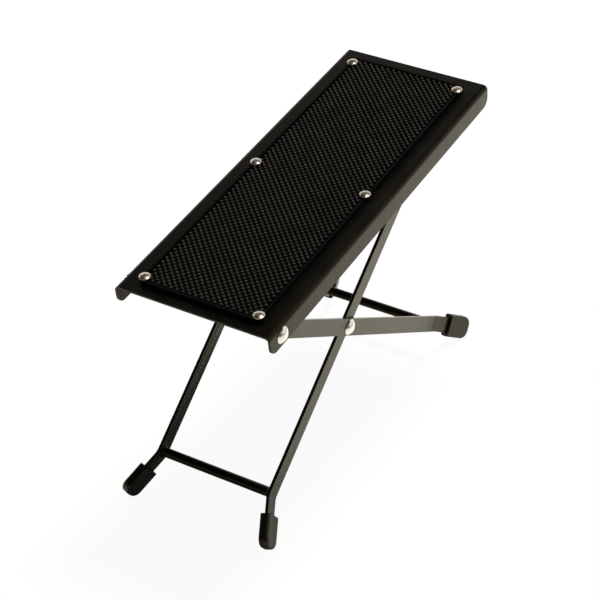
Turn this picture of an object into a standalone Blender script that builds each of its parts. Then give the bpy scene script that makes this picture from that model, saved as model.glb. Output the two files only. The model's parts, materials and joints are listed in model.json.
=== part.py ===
"""Folding guitar footrest, built at its real size in metres, +Z up.

The low end of the deck points to -Y and the high end to +Y. The rear legs hold the
deck's rivets, the front legs hold the locking rod, and the two frames cross at the
scissor rivets. Every frame is modelled along its own +Y axis and then turned about
X into place, so each moving frame has its empty on its own joint axis.
"""

import math

import bmesh
import bpy
from mathutils import Vector

MM = 0.001
HALF = 0.5
FLAT_ANGLE = math.radians(0.1)

# Joint geometry, seen from the side
STANCE_STEPS = 40
SCISSOR_Y = -28.3 * MM
LEGS_OPEN = math.radians(69.8)
DECK_RIVET_REACH = 121.2 * MM
LOCK_ROD_REACH = 136.1 * MM

# Deck
DECK_WIDTH = 119.0 * MM
DECK_LENGTH = 308.0 * MM
SHEET = 1.5 * MM
SIDE_DEPTH = 16.0 * MM
BEND_RADIUS = 3.5 * MM
BEND_STEPS = 5
SIDE_CORNER = 7.0 * MM
CORNER_STEPS = 8
DECK_RIVET_FROM_END = 14.5 * MM
DECK_RIVET_BELOW_TOP = 8.1 * MM

# Clearances: between pieces, of a cutter past what it cuts, and between equal places
GAP = 0.3 * MM
OVERRUN = 2.0 * MM
NEAR = 0.3 * MM

# Leg bars, held inside the deck's sides by the spacers
BAR_WIDTH = 12.4 * MM
BAR_THICKNESS = 2.5 * MM
SPACER_LENGTH = 8.05 * MM
REAR_BAR_OUTSIDE = DECK_WIDTH * HALF - SHEET - GAP - SPACER_LENGTH - GAP
REAR_BAR_X = REAR_BAR_OUTSIDE - BAR_THICKNESS * HALF
FRONT_BAR_X = REAR_BAR_X - BAR_THICKNESS - GAP
SPLAY = math.radians(20.0)
SPLAY_STEPS = 5
SPLAY_RADIUS = 14.0 * MM
REAR_SPLAY_AT = 158.2 * MM
FRONT_SPLAY_AT = 126.8 * MM
BAR_END_FLAT = 0.4 * MM
BAR_TIP_ROUND = 2.0 * MM
ROUND_STEPS = 6

# Round rods
ROD_RADIUS = 3.5 * MM
REAR_ROD_AT = 152.0 * MM
FRONT_ROD_AT = 127.2 * MM
WELD_RADIUS = 5.0 * MM
WELD_LENGTH = 1.6 * MM
ROD_SIDES = 24

# Rubber feet
FOOT_LENGTH = 22.8 * MM
FOOT_WIDTH = 17.8 * MM
FOOT_THICKNESS = 7.6 * MM
FOOT_CORNER = 6.5 * MM
FOOT_EDGE = 2.0 * MM
FOOT_EDGE_STEPS = 4
FOOT_START = 11.2 * MM
FOOT_WALL = 3.6 * MM

# Rivets
SHANK_RADIUS = 3.0 * MM
RIVET_HEAD_RADIUS = 6.1 * MM
RIVET_HEAD_HEIGHT = 3.0 * MM
TAIL_RADIUS = 4.5 * MM
TAIL_HEIGHT = 1.4 * MM
COUNTERSINK_RADIUS = 4.2 * MM
COUNTERSINK_DEPTH = 1.2 * MM
SLEEVE_RADIUS = 5.5 * MM
DOME_STEPS = 6
ROUND_SIDES = 32

# Mat and its screws
MAT_FROM_SIDES = 13.2 * MM
MAT_START = 8.6 * MM
MAT_END = 11.4 * MM
MAT_WIDTH = DECK_WIDTH - MAT_FROM_SIDES * 2
MAT_LENGTH = DECK_LENGTH - MAT_START - MAT_END
MAT_THICKNESS = 3.0 * MM
MAT_CORNER = 3.0 * MM
MAT_EDGE = 0.35 * MM
MAT_EDGE_STEPS = 2
MAT_BORDER = 1.7 * MM
FIELD_DEPTH = 0.9 * MM
PIP_RADIUS = 2.4 * MM
PIP_TOP_RADIUS = 1.6 * MM
PIP_ROOT = 0.5 * MM
PIP_PITCH = 14.4 * MM
PIP_SIDES = 4
SCREW_FROM_MAT_SIDE = 2.4 * MM
SCREW_FROM_HIGH_END = 18.7 * MM
SCREW_X = MAT_WIDTH * HALF - SCREW_FROM_MAT_SIDE
SCREW_FIRST = 13.3 * MM
SCREW_LAST = DECK_LENGTH - SCREW_FROM_HIGH_END
SCREW_HEAD_RADIUS = 4.4 * MM
SCREW_HEAD_HEIGHT = 2.4 * MM
SCREW_SHANK_RADIUS = 1.6 * MM
SCREW_BELOW_SHEET = 0.1 * MM
SLOT_WIDTH = 1.1 * MM
SLOT_DEPTH = 1.1 * MM
SLOT_TURNS_DEG = (14.0, -8.0, 22.0, 5.0, -18.0, 10.0)

# Notched racks
RACK_FROM_BARS = 5.25 * MM
RACK_X = FRONT_BAR_X - BAR_THICKNESS * HALF - RACK_FROM_BARS
RACK_SHEET = 2.0 * MM
RACK_FOOT_WIDTH = 12.0 * MM
RACK_TIP_BELOW_TOP = 7.2 * MM
NOTCH_DEPTH = 2.8 * MM
NOTCH_PITCH = 9.2 * MM
NOTCH_COUNT = 5
NOTCH_STEPS = 10
RACK_STOP = 4.0 * MM
RACK_END = 1.0 * MM

# Sides and turns
LEFT, RIGHT = -1, 1
SIDE_NAMES = {LEFT: "left", RIGHT: "right"}
QUARTER = math.radians(90.0)
HALF_TURN = math.radians(180.0)
FACE_OUT = {RIGHT: (0.0, QUARTER, 0.0), LEFT: (0.0, -QUARTER, 0.0)}


def remove_everything():
    for obj in list(bpy.data.objects):
        bpy.data.objects.remove(obj, do_unlink=True)


def new_collection(name, hidden=False):
    made = bpy.data.collections.new(name)
    bpy.context.scene.collection.children.link(made)
    made.hide_render = hidden
    return made


def plain_material(name, colour, roughness, metallic):
    """One Principled material with a plain colour, given as linear red, green, blue."""
    made = bpy.data.materials.new(name)
    made.use_nodes = True
    shader = made.node_tree.nodes["Principled BSDF"]
    shader.inputs["Base Color"].default_value = (*colour, 1.0)
    shader.inputs["Roughness"].default_value = roughness
    shader.inputs["Metallic"].default_value = metallic
    made.diffuse_color = (*colour, 1.0)
    return made


def black_powder_coat(name):
    return plain_material(name, (0.012, 0.011, 0.010), 0.45, 0.0)


def black_rubber(name):
    return plain_material(name, (0.018, 0.018, 0.018), 0.75, 0.0)


def bright_nickel(name):
    return plain_material(name, (0.72, 0.68, 0.60), 0.22, 1.0)


def zinc_steel(name):
    return plain_material(name, (0.45, 0.45, 0.43), 0.38, 1.0)


# Shapes made with the modelling tools

def link(obj, collection):
    collection.objects.link(obj)
    return obj


def add_empty(name, collection, location, turn_about_x=0.0, parent=None):
    empty = link(bpy.data.objects.new(name, None), collection)
    empty.parent = parent
    empty.location = location
    empty.rotation_euler = (turn_about_x, 0.0, 0.0)
    return empty


def mesh_of_curve(name, curve, collection):
    """The mesh of a curve, welded, as a new object; the curve is removed."""
    source = link(bpy.data.objects.new(name + "_curve", curve), collection)
    graph = bpy.context.evaluated_depsgraph_get()
    mesh = bpy.data.meshes.new_from_object(source.evaluated_get(graph))
    bpy.data.objects.remove(source, do_unlink=True)
    bpy.data.curves.remove(curve)
    mesh.name = name
    made = link(bpy.data.objects.new(name, mesh), collection)
    shape = bmesh.new()
    shape.from_mesh(mesh)
    bmesh.ops.remove_doubles(shape, verts=shape.verts, dist=MM * MM)
    bmesh.ops.dissolve_limit(
        shape, angle_limit=FLAT_ANGLE, verts=shape.verts, edges=shape.edges
    )
    bmesh.ops.recalc_face_normals(shape, faces=shape.faces)
    shape.to_mesh(mesh)
    shape.free()
    return made


def poly_curve(name, points, closed, extrude, fill):
    """A flat poly curve through (across, up) points, extruded both ways from its plane."""
    curve = bpy.data.curves.new(name, "CURVE")
    curve.dimensions = "2D"
    curve.fill_mode = fill
    curve.extrude = extrude
    spline = curve.splines.new("POLY")
    spline.points.add(len(points) - 1)
    for point, (across, up) in zip(spline.points, points):
        point.co = (across, up, 0.0, 1.0)
    spline.use_cyclic_u = closed
    return curve


def plate(name, outline, thickness, collection):
    """A flat plate: a closed outline in XY with its thickness along Z."""
    curve = poly_curve(name, outline, True, thickness * HALF, "BOTH")
    return mesh_of_curve(name, curve, collection)


def ribbon(name, path, width, collection):
    """An open surface: a path in XY drawn out along Z."""
    curve = poly_curve(name, path, False, width * HALF, "NONE")
    return mesh_of_curve(name, curve, collection)


def turned(name, profile, sides, collection):
    """A solid of revolution about Z from (radius, height) points, top to bottom."""
    mesh = bpy.data.meshes.new(name)
    shape = bmesh.new()
    corners = [shape.verts.new((radius, 0.0, height)) for radius, height in profile]
    for first, second in zip(corners, corners[1:]):
        shape.edges.new((first, second))
    shape.to_mesh(mesh)
    shape.free()
    made = link(bpy.data.objects.new(name, mesh), collection)
    screw = made.modifiers.new("turn", "SCREW")
    screw.axis = "Z"
    screw.steps = sides
    screw.render_steps = sides
    screw.use_merge_vertices = True
    screw.merge_threshold = MM * MM
    return made


def block(name, size, collection):
    """A box of the given size, centred on its origin."""
    mesh = bpy.data.meshes.new(name)
    shape = bmesh.new()
    bmesh.ops.create_cube(shape, size=1.0)
    bmesh.ops.scale(shape, vec=Vector(size), verts=shape.verts)
    shape.to_mesh(mesh)
    shape.free()
    return link(bpy.data.objects.new(name, mesh), collection)


def pin(name, radius, length, collection, top_radius=None, sides=ROUND_SIDES):
    """A pin or cone along Z, centred on its origin."""
    mesh = bpy.data.meshes.new(name)
    shape = bmesh.new()
    bmesh.ops.create_cone(
        shape,
        cap_ends=True,
        segments=sides,
        radius1=radius,
        radius2=radius if top_radius is None else top_radius,
        depth=length,
    )
    shape.to_mesh(mesh)
    shape.free()
    return link(bpy.data.objects.new(name, mesh), collection)


def round_edges(obj, picked, width, steps):
    """Bevels the edges that picked(first, second) says yes to."""
    mesh = obj.data
    weights = mesh.attributes.get("bevel_weight_edge")
    if weights is None:
        weights = mesh.attributes.new("bevel_weight_edge", "FLOAT", "EDGE")
    for edge in mesh.edges:
        first, second = (mesh.vertices[index].co for index in edge.vertices)
        weights.data[edge.index].value = 1.0 if picked(first, second) else 0.0
    bevel = obj.modifiers.new("round", "BEVEL")
    bevel.limit_method = "WEIGHT"
    bevel.width = width
    bevel.segments = steps


def apply_modifiers(obj):
    """Replaces the mesh by what its modifiers make of it."""
    graph = bpy.context.evaluated_depsgraph_get()
    mesh = bpy.data.meshes.new_from_object(obj.evaluated_get(graph))
    old = obj.data
    obj.modifiers.clear()
    obj.data = mesh
    bpy.data.meshes.remove(old)
    mesh.name = obj.name


def combine(obj, other, operation):
    """A live Boolean with another object; cutters stay in the cutters collection."""
    change = obj.modifiers.new(operation.lower(), "BOOLEAN")
    change.operation = operation
    change.object = other
    change.solver = "EXACT"
    other.display_type = "WIRE"


def finish(obj, material, smooth=True):
    obj.data.materials.clear()
    obj.data.materials.append(material)
    for polygon in obj.data.polygons:
        polygon.use_smooth = smooth


def place(obj, parent, location, rotation=(0.0, 0.0, 0.0)):
    obj.parent = parent
    obj.location = location
    obj.rotation_euler = rotation


def arc(centre, radius, start, stop, steps):
    """Points along an arc, from one angle to another, both ends included."""
    turns = [start + (stop - start) * step / steps for step in range(steps + 1)]
    return [
        (centre[0] + radius * math.cos(turn), centre[1] + radius * math.sin(turn))
        for turn in turns
    ]


# Stance: how the legs must lean for all four feet to stand on the floor

def foot_drop(fall, bend_at):
    """How far a foot's lowest point lies below the scissor rivets, on a bar that falls so."""
    sink = math.sin(fall) * math.cos(SPLAY)
    stand = math.cos(fall)
    arc_end = math.sin(fall) * (bend_at + SPLAY_RADIUS * math.sin(SPLAY))
    tip = arc_end + sink * (FOOT_START + FOOT_LENGTH - FOOT_CORNER)
    side = stand * (FOOT_WIDTH * HALF - FOOT_CORNER)
    corner = math.hypot(sink, stand) * (FOOT_CORNER - FOOT_EDGE)
    lean = math.sin(fall) * math.sin(SPLAY) * (FOOT_THICKNESS * HALF - FOOT_EDGE)
    return tip + side + corner + lean + FOOT_EDGE


def front_leg_rise():
    """The front legs' angle to the floor at which front and rear feet reach equally low."""
    low, high = 0.0, LEGS_OPEN
    for _ in range(STANCE_STEPS):
        rise = (low + high) * HALF
        if foot_drop(rise, FRONT_SPLAY_AT) < foot_drop(LEGS_OPEN - rise, REAR_SPLAY_AT):
            low = rise
        else:
            high = rise
    return rise


def rod_in_notch():
    """The locking rod's (along, up) from the deck rivets' axis, in the deck's own frame."""
    reach_squared = (
        DECK_RIVET_REACH ** 2
        + LOCK_ROD_REACH ** 2
        + 2 * DECK_RIVET_REACH * LOCK_ROD_REACH * math.cos(LEGS_OPEN)
    )
    up = DECK_RIVET_BELOW_TOP - RACK_TIP_BELOW_TOP - GAP - ROD_RADIUS
    return math.sqrt(reach_squared - up ** 2), up


def deck_tilt(rear_fall, front_rise):
    """The deck's slope when it rests on the locking rod."""
    forward = DECK_RIVET_REACH * math.cos(rear_fall) + LOCK_ROD_REACH * math.cos(front_rise)
    rise = LOCK_ROD_REACH * math.sin(front_rise) - DECK_RIVET_REACH * math.sin(rear_fall)
    along, up = rod_in_notch()
    return math.atan2(rise, forward) - math.atan2(up, along)


# Deck tray: one sheet with both long sides bent down

def tray_path():
    """Middle line of the sheet's cross section, from the left lower edge to the right one."""
    middle = DECK_WIDTH * HALF - SHEET * HALF
    radius = BEND_RADIUS - SHEET * HALF
    top = -SHEET * HALF
    right = arc((middle - radius, top - radius), radius, QUARTER, 0.0, BEND_STEPS)
    right.append((middle, -SIDE_DEPTH))
    left = [(-across, up) for across, up in reversed(right)]
    return left + right


def make_deck_tray(parts, cutters, axis):
    deck = ribbon("deck_tray", tray_path(), DECK_LENGTH, parts)
    solidify = deck.modifiers.new("sheet", "SOLIDIFY")
    solidify.thickness = SHEET
    solidify.offset = 0.0
    solidify.use_even_offset = True
    apply_modifiers(deck)

    def side_corner(first, second):
        low = max(first.y, second.y) < -SIDE_DEPTH + NEAR
        across = abs(first.x - second.x) > SHEET * HALF
        return low and across

    round_edges(deck, side_corner, SIDE_CORNER, CORNER_STEPS)
    apply_modifiers(deck)
    middle = DECK_LENGTH * HALF - DECK_RIVET_FROM_END
    place(deck, axis, (0.0, middle, DECK_RIVET_BELOW_TOP), (QUARTER, 0.0, 0.0))

    rivet_cut = pin("cut_deck_rivets", SHANK_RADIUS + GAP, DECK_WIDTH + OVERRUN, cutters)
    place(rivet_cut, axis, (0.0, 0.0, 0.0), (0.0, QUARTER, 0.0))
    combine(deck, rivet_cut, "DIFFERENCE")
    for name, across, along in screw_places():
        cut = pin("cut_deck_" + name, SCREW_SHANK_RADIUS + GAP, SHEET + OVERRUN, cutters)
        place(cut, axis, (across, along, DECK_RIVET_BELOW_TOP - SHEET * HALF))
        combine(deck, cut, "DIFFERENCE")
    finish(deck, black_powder_coat("deck powder coat"))


# Mat and screws, in the deck's frame

def screw_places():
    """Name, distance across and distance along from the deck rivets, for each screw."""
    rows = (
        ("low", SCREW_FIRST),
        ("middle", (SCREW_FIRST + SCREW_LAST) * HALF),
        ("high", SCREW_LAST),
    )
    return [
        (f"mat_screw_{row}_{SIDE_NAMES[side]}", side * SCREW_X, along - DECK_RIVET_FROM_END)
        for row, along in rows
        for side in (LEFT, RIGHT)
    ]


def repeat(obj, count, step):
    """Copies in a row, a step apart, the first on the object's own place."""
    row = obj.modifiers.new("row", "ARRAY")
    row.count = count
    row.use_relative_offset = False
    row.use_constant_offset = True
    row.constant_offset_displace = step


def add_pips(mat, cutters, axis, middle):
    """Blunt four-sided pips in staggered rows, which stand in the field up to its border.

    The real mat has a finer pattern of the same kind, about nine pips for each of these.
    """
    height = FIELD_DEPTH + PIP_ROOT
    room_across = MAT_WIDTH - (MAT_BORDER + PIP_RADIUS) * 2
    room_along = MAT_LENGTH - (MAT_BORDER + PIP_RADIUS) * 2
    columns = int(room_across / PIP_PITCH) + 1
    rows = int(room_along / PIP_PITCH) + 1
    for name, across, along in (("main", columns, rows), ("offset", columns - 1, rows - 1)):
        pips = pin("join_pips_" + name, PIP_RADIUS, height, cutters, PIP_TOP_RADIUS, PIP_SIDES)
        repeat(pips, across, (PIP_PITCH, 0.0, 0.0))
        repeat(pips, along, (0.0, PIP_PITCH, 0.0))
        first_across = (1 - across) * PIP_PITCH * HALF
        first_along = (1 - along) * PIP_PITCH * HALF
        up = middle.z + MAT_THICKNESS * HALF - height * HALF
        place(pips, axis, (middle.x + first_across, middle.y + first_along, up))
        combine(mat, pips, "UNION")


def make_mat(parts, cutters, axis):
    mat = block("rubber_mat", (MAT_WIDTH, MAT_LENGTH, MAT_THICKNESS), parts)
    round_edges(
        mat,
        lambda first, second: abs(first.z - second.z) > MAT_THICKNESS * HALF,
        MAT_CORNER,
        ROUND_STEPS,
    )
    apply_modifiers(mat)
    half = MAT_THICKNESS * HALF

    def top_edge(first, second):
        return min(first.z, second.z) > half - NEAR

    round_edges(mat, top_edge, MAT_EDGE, MAT_EDGE_STEPS)
    along = MAT_START + MAT_LENGTH * HALF - DECK_RIVET_FROM_END
    middle = Vector((0.0, along, DECK_RIVET_BELOW_TOP + GAP + half))
    place(mat, axis, middle)

    inside = MAT_BORDER * 2
    field = block("cut_mat_field", (MAT_WIDTH - inside, MAT_LENGTH - inside, FIELD_DEPTH * 2), cutters)
    place(field, axis, (0.0, along, middle.z + half))
    combine(mat, field, "DIFFERENCE")
    add_pips(mat, cutters, axis, middle)
    for name, across, screw_along in screw_places():
        cut = pin("cut_mat_" + name, SCREW_SHANK_RADIUS + GAP, MAT_THICKNESS + OVERRUN, cutters)
        place(cut, axis, (across, screw_along, middle.z))
        combine(mat, cut, "DIFFERENCE")
    finish(mat, black_rubber("pimpled rubber"), smooth=False)


def dome_profile(radius, height, base):
    """(radius, height) points of a low dome, from its top down to its rim."""
    ball = (radius * radius + height * height) * HALF / height
    rim = math.asin(radius / ball)
    turns = [rim * step / DOME_STEPS for step in range(DOME_STEPS + 1)]
    centre = base + height - ball
    return [(ball * math.sin(turn), centre + ball * math.cos(turn)) for turn in turns]


def make_mat_screws(parts, cutters, axis):
    seat = DECK_RIVET_BELOW_TOP + GAP + MAT_THICKNESS + GAP
    foot = DECK_RIVET_BELOW_TOP - SHEET - SCREW_BELOW_SHEET - seat
    profile = dome_profile(SCREW_HEAD_RADIUS, SCREW_HEAD_HEIGHT, 0.0)
    profile += [(SCREW_SHANK_RADIUS, 0.0), (SCREW_SHANK_RADIUS, foot), (0.0, foot)]
    for (name, across, along), turn in zip(screw_places(), SLOT_TURNS_DEG):
        screw = turned(name, profile, ROD_SIDES, parts)
        place(screw, axis, (across, along, seat), (0.0, 0.0, math.radians(turn)))
        slot = block("cut_" + name, (SCREW_HEAD_RADIUS * 2 + OVERRUN, SLOT_WIDTH, SLOT_DEPTH * 2), cutters)
        place(slot, screw, (0.0, 0.0, SCREW_HEAD_HEIGHT))
        combine(screw, slot, "DIFFERENCE")
        finish(screw, bright_nickel("nickel " + name))


# Notched racks under the deck

def rack_outline():
    """Side view of a rack: (along, up) from the deck rivets' axis, notches facing down."""
    rest_along, _ = rod_in_notch()
    top = DECK_RIVET_BELOW_TOP - SHEET - GAP
    tip = DECK_RIVET_BELOW_TOP - RACK_TIP_BELOW_TOP
    radius = ROD_RADIUS + GAP
    centre = tip + NOTCH_DEPTH - radius
    mouth = math.asin((tip - centre) / radius)
    spots = [rest_along + step * NOTCH_PITCH for step in range(NOTCH_COUNT)]
    points = []
    for spot in spots:
        points += arc((spot, centre), radius, HALF_TURN - mouth, mouth, NOTCH_STEPS)
    first = spots[0] - radius - RACK_STOP
    last = spots[-1] + radius + RACK_END
    return [(first, top), (first, tip)] + points + [(last, tip), (last, top)]


def make_racks(parts, cutters, axis):
    outline = rack_outline()
    first, last = outline[0][0], outline[-1][0]
    top = outline[0][1]
    for side in (LEFT, RIGHT):
        name = "notch_rack_" + SIDE_NAMES[side]
        rack = plate(name, outline, RACK_SHEET, parts)
        place(rack, axis, (side * RACK_X, 0.0, 0.0), (QUARTER, 0.0, QUARTER))
        foot = block("join_" + name, (RACK_FOOT_WIDTH, last - first, RACK_SHEET), cutters)
        across = side * (RACK_X + RACK_SHEET * HALF - RACK_FOOT_WIDTH * HALF)
        place(foot, axis, (across, (first + last) * HALF, top - RACK_SHEET * HALF))
        combine(rack, foot, "UNION")
        finish(rack, black_powder_coat("powder coat " + name), smooth=False)


# Leg bars: flat bars whose lower ends bend outwards

def bar_outline(reach_up, bend_at):
    """(outward, along) outline of a bar seen on edge, from its upper end to its foot end."""
    half = BAR_THICKNESS * HALF
    centre = (SPLAY_RADIUS, -bend_at)
    turn = (HALF_TURN, HALF_TURN + SPLAY, SPLAY_STEPS)
    inner = arc(centre, SPLAY_RADIUS + half, *turn)
    outer = arc(centre, SPLAY_RADIUS - half, *turn)
    run = FOOT_START + FOOT_LENGTH - FOOT_WALL - GAP
    for edge in (inner, outer):
        out, along = edge[-1]
        edge.append((out + run * math.sin(SPLAY), along - run * math.cos(SPLAY)))
    return [(half, reach_up), (-half, reach_up)] + inner + outer[::-1]


def make_bar(name, side, across, reach_up, bend_at, parts, axis):
    outline = [(side * out, along) for out, along in bar_outline(reach_up, bend_at)]
    bar = plate(name, outline, BAR_WIDTH, parts)
    foot = min(along for out, along in outline)

    def across_bar(first, second):
        return abs(first.z - second.z) < NEAR < abs(first.x - second.x)

    def end_corner(first, second):
        return across_bar(first, second) and min(first.y, second.y) > reach_up - NEAR

    def tip_corner(first, second):
        return across_bar(first, second) and max(first.y, second.y) < foot + BAR_THICKNESS

    round_edges(bar, end_corner, (BAR_WIDTH - BAR_END_FLAT) * HALF, ROUND_STEPS)
    apply_modifiers(bar)
    round_edges(bar, tip_corner, BAR_TIP_ROUND, ROUND_STEPS)
    apply_modifiers(bar)
    place(bar, axis, (side * across, 0.0, 0.0))
    finish(bar, black_powder_coat("powder coat " + name))
    return bar


def drill(bar, name, side, across, along, cutters, axis):
    """A rivet hole through a bar."""
    cut = pin("cut_" + name, SHANK_RADIUS + GAP, BAR_THICKNESS + OVERRUN, cutters)
    place(cut, axis, (side * across, along, 0.0), FACE_OUT[side])
    combine(bar, cut, "DIFFERENCE")


def countersink(bar, name, side, along, cutters, axis):
    """A conical seat on the inner face of a rear bar, for the flush tail of a deck rivet."""
    grow = (COUNTERSINK_RADIUS - SHANK_RADIUS) / COUNTERSINK_DEPTH
    length = COUNTERSINK_DEPTH + OVERRUN
    wide = SHANK_RADIUS + GAP + grow * length
    cut = pin("cut_seat_" + name, wide, length, cutters, SHANK_RADIUS + GAP)
    inner = REAR_BAR_X - BAR_THICKNESS * HALF
    middle = inner + COUNTERSINK_DEPTH - length * HALF
    place(cut, axis, (side * middle, along, 0.0), FACE_OUT[side])
    combine(bar, cut, "DIFFERENCE")


def make_rod(name, across, along, parts, axis):
    """A round rod between two bars, with a weld at each end."""
    half = across - BAR_THICKNESS * HALF - GAP
    profile = [
        (0.0, half),
        (WELD_RADIUS, half),
        (ROD_RADIUS, half - WELD_LENGTH),
        (ROD_RADIUS, WELD_LENGTH - half),
        (WELD_RADIUS, -half),
        (0.0, -half),
    ]
    rod = turned(name, profile, ROD_SIDES, parts)
    place(rod, axis, (0.0, along, 0.0), (0.0, QUARTER, 0.0))
    finish(rod, black_powder_coat("powder coat " + name))


# Rubber feet: moulded caps with a pocket for the bar's end

def foot_outline():
    """(along, up) outline of a cap: its mouth square, its far end well rounded."""
    half = FOOT_WIDTH * HALF
    along = -FOOT_LENGTH + FOOT_CORNER
    up = half - FOOT_CORNER
    far_top = arc((along, up), FOOT_CORNER, QUARTER, HALF_TURN, ROUND_STEPS)
    far_bottom = arc((along, -up), FOOT_CORNER, HALF_TURN, HALF_TURN + QUARTER, ROUND_STEPS)
    return [(0.0, half)] + far_top + far_bottom + [(0.0, -half)]


def make_foot(name, side, across, bend_at, parts, cutters, axis):
    foot = plate(name, foot_outline(), FOOT_THICKNESS, parts)
    round_edges(
        foot,
        lambda first, second: abs(first.z - second.z) < NEAR and min(first.x, second.x) < -NEAR,
        FOOT_EDGE,
        FOOT_EDGE_STEPS,
    )
    apply_modifiers(foot)
    out = across + SPLAY_RADIUS * (1 - math.cos(SPLAY)) + FOOT_START * math.sin(SPLAY)
    along = -bend_at - SPLAY_RADIUS * math.sin(SPLAY) - FOOT_START * math.cos(SPLAY)
    mouth = add_empty(name + "_mouth", parts, (side * out, along, 0.0), parent=axis)
    mouth.rotation_euler = (0.0, 0.0, side * SPLAY)
    place(foot, mouth, (0.0, 0.0, 0.0), (QUARTER, 0.0, QUARTER))

    depth = FOOT_LENGTH - FOOT_WALL
    size = (BAR_THICKNESS + GAP * 2, depth + OVERRUN, BAR_WIDTH + GAP * 2)
    pocket = block("cut_" + name, size, cutters)
    place(pocket, mouth, (0.0, (OVERRUN - depth) * HALF, 0.0))
    combine(foot, pocket, "DIFFERENCE")
    finish(foot, black_rubber("foot rubber " + name))


# Rivets and sleeves

def make_deck_rivet(side, parts, axis):
    """Domed head outside the tray, shank through sleeve and bar, tail flush in the bar."""
    name = "deck_rivet_" + SIDE_NAMES[side]
    seat = DECK_WIDTH * HALF + GAP
    tail = REAR_BAR_X - BAR_THICKNESS * HALF
    flare = tail + COUNTERSINK_DEPTH
    profile = dome_profile(RIVET_HEAD_RADIUS, RIVET_HEAD_HEIGHT, seat)
    profile += [
        (SHANK_RADIUS, seat),
        (SHANK_RADIUS, flare),
        (COUNTERSINK_RADIUS, tail),
        (0.0, tail),
    ]
    rivet = turned(name, profile, ROUND_SIDES, parts)
    place(rivet, axis, (0.0, 0.0, 0.0), FACE_OUT[side])
    finish(rivet, bright_nickel("nickel " + name))


def make_sleeve(side, parts, axis):
    name = "deck_spacer_" + SIDE_NAMES[side]
    bore = SHANK_RADIUS + GAP
    inner = REAR_BAR_OUTSIDE + GAP
    outer = inner + SPACER_LENGTH
    ring = [(bore, outer), (SLEEVE_RADIUS, outer), (SLEEVE_RADIUS, inner), (bore, inner)]
    sleeve = turned(name, ring + ring[:1], ROUND_SIDES, parts)
    place(sleeve, axis, (0.0, 0.0, 0.0), FACE_OUT[side])
    finish(sleeve, zinc_steel("zinc " + name))


def make_scissor_rivet(side, parts, axis):
    """Domed head on the rear bar, button tail inside the front bar."""
    name = "scissor_rivet_" + SIDE_NAMES[side]
    seat = REAR_BAR_X + BAR_THICKNESS * HALF + GAP
    tail = FRONT_BAR_X - BAR_THICKNESS * HALF - GAP
    profile = dome_profile(RIVET_HEAD_RADIUS, RIVET_HEAD_HEIGHT, seat)
    profile += [
        (SHANK_RADIUS, seat),
        (SHANK_RADIUS, tail),
        (TAIL_RADIUS, tail),
        (TAIL_RADIUS, tail - TAIL_HEIGHT),
        (0.0, tail - TAIL_HEIGHT),
    ]
    rivet = turned(name, profile, ROUND_SIDES, parts)
    place(rivet, axis, (0.0, 0.0, 0.0), FACE_OUT[side])
    finish(rivet, bright_nickel("nickel " + name))


def make_rear_frame(parts, cutters, axis):
    for side in (LEFT, RIGHT):
        word = SIDE_NAMES[side]
        reach = DECK_RIVET_REACH + BAR_WIDTH * HALF
        bar = make_bar("rear_bar_" + word, side, REAR_BAR_X, reach, REAR_SPLAY_AT, parts, axis)
        drill(bar, "rear_scissor_" + word, side, REAR_BAR_X, 0.0, cutters, axis)
        drill(bar, "rear_deck_" + word, side, REAR_BAR_X, DECK_RIVET_REACH, cutters, axis)
        countersink(bar, "rear_deck_" + word, side, DECK_RIVET_REACH, cutters, axis)
        make_foot("rear_foot_" + word, side, REAR_BAR_X, REAR_SPLAY_AT, parts, cutters, axis)
        make_scissor_rivet(side, parts, axis)
    make_rod("rear_crossbar", REAR_BAR_X, -REAR_ROD_AT, parts, axis)


def make_front_frame(parts, cutters, axis):
    for side in (LEFT, RIGHT):
        word = SIDE_NAMES[side]
        reach = LOCK_ROD_REACH + BAR_WIDTH * HALF
        bar = make_bar("front_bar_" + word, side, FRONT_BAR_X, reach, FRONT_SPLAY_AT, parts, axis)
        drill(bar, "front_scissor_" + word, side, FRONT_BAR_X, 0.0, cutters, axis)
        make_foot("front_foot_" + word, side, FRONT_BAR_X, FRONT_SPLAY_AT, parts, cutters, axis)
    make_rod("front_crossbar", FRONT_BAR_X, -FRONT_ROD_AT, parts, axis)
    make_rod("locking_rod", FRONT_BAR_X, LOCK_ROD_REACH, parts, axis)


def main():
    remove_everything()
    parts = new_collection("guitar_footrest")
    cutters = new_collection("cutters", hidden=True)

    front_rise = front_leg_rise()
    rear_fall = LEGS_OPEN - front_rise
    tilt = deck_tilt(rear_fall, front_rise)
    scissor = (0.0, SCISSOR_Y, foot_drop(front_rise, FRONT_SPLAY_AT))
    rear_axis = add_empty("rear_frame_axis", parts, scissor, HALF_TURN - rear_fall)
    front_axis = add_empty("front_frame_axis", parts, scissor, front_rise)
    at_rivets = (0.0, DECK_RIVET_REACH, 0.0)
    deck_axis = add_empty("deck_axis", parts, at_rivets, tilt + rear_fall - HALF_TURN, rear_axis)
    bpy.context.view_layer.update()
    for empty in (rear_axis, front_axis, deck_axis):
        print(empty.name, [round(value, 6) for value in empty.matrix_world.translation])
    print("slopes", [round(math.degrees(turn), 4) for turn in (rear_fall, front_rise, tilt)])

    make_rear_frame(parts, cutters, rear_axis)
    make_front_frame(parts, cutters, front_axis)
    for side in (LEFT, RIGHT):
        make_deck_rivet(side, parts, deck_axis)
        make_sleeve(side, parts, deck_axis)
    make_deck_tray(parts, cutters, deck_axis)
    make_mat(parts, cutters, deck_axis)
    make_mat_screws(parts, cutters, deck_axis)
    make_racks(parts, cutters, deck_axis)


main()
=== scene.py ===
# %% [markdown]
# # A folding guitar footrest
#
# A guitar player's foot rests on a steel deck that stands on scissor legs. The packed
# model gives the frame: every sub-part at its real place, ready to move. Here the parts
# that a close look would catch are modelled again with more care, every surface gets a
# procedural finish, and the camera and lights of a product photograph are set up.

import math

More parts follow.
